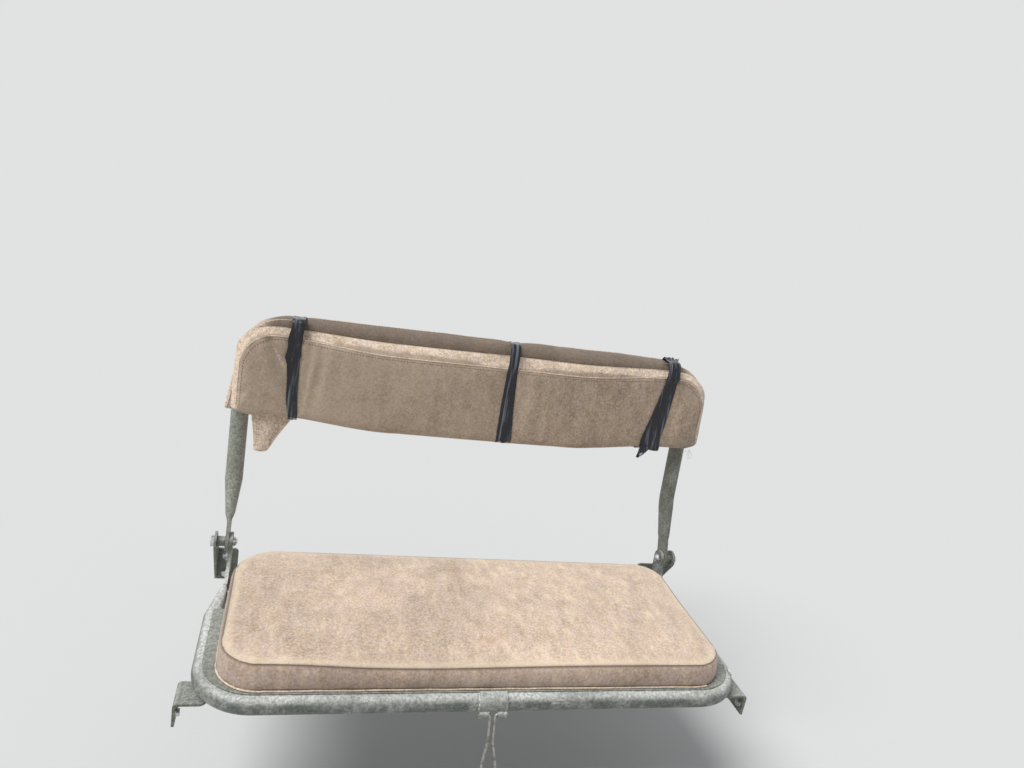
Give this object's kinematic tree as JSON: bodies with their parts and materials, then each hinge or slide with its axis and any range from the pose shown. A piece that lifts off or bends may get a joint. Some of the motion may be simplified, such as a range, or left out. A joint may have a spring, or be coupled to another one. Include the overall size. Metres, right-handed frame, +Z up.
{
  "type": "folding rear bench seat of an open four-wheel-drive field car",
  "caption": "Tubular rear bench seat that tips up and folds flat, with canvas cushion, back pad folded over the top tube and tied with tape, pivot brackets, front rests and wire latch loop.",
  "frame": {"origin": "centre of the four bolt holes of the two pivot brackets, on the face of the car's rear panel", "axes": "+X to the right as seen from the front seats, +Y to the rear of the car along the panel bolts, +Z up"},
  "size_m": [0.924, 0.4684, 0.6089],
  "materials": {
    "frame_paint": "worn satin olive drab paint, chipped to grey metal and rust",
    "olive_paint": "worn satin olive drab paint with dust and scratches",
    "zinc_steel": "dull zinc plate, lightly rusted",
    "bare_wire": "worn steel wire with remains of paint",
    "seat_canvas": "coarse faded tan canvas, stained and rubbed",
    "back_canvas": "coarse faded tan canvas with stitched hems",
    "black_tape": "crumpled glossy black tape"
  },
  "bodies": {
    "mounting": {"pivot_bracket_left": "olive_paint", "pivot_bracket_right": "olive_paint", "pivot_bush_left": "olive_paint", "pivot_bush_right": "olive_paint", "pivot_bolt_left": "zinc_steel", "pivot_bolt_right": "zinc_steel", "front_rest_left": "olive_paint", "front_rest_right": "olive_paint"},
    "seat_base": {"seat_frame": "frame_paint", "seat_pan": "olive_paint", "rear_rail": "olive_paint", "latch_plate": "olive_paint", "seat_cushion": "seat_canvas"},
    "backrest": {"back_frame": "frame_paint", "back_pad": "back_canvas", "tape_left": "black_tape", "tape_middle": "black_tape", "tape_right": "black_tape"},
    "latch_loop": {"latch_wire": "bare_wire"}
  },
  "joints": [
    {"name": "seat_tip", "type": "hinge", "parent": "mounting", "child": "seat_base", "pos_m": [0, -0.064, 0.08], "axis": [-1, 0, 0], "range_deg": [0, 85]},
    {"name": "back_fold", "type": "hinge", "parent": "seat_base", "child": "backrest", "pos_m": [0, -0.064, 0.08], "axis": [1, 0, 0], "range_deg": [0, 92]},
    {"name": "latch_swing", "type": "hinge", "parent": "seat_base", "child": "latch_loop", "pos_m": [-0.004, -0.42728, 0.00478], "axis": [-1, 0, 0], "range_deg": [-30, 110]}
  ]
}
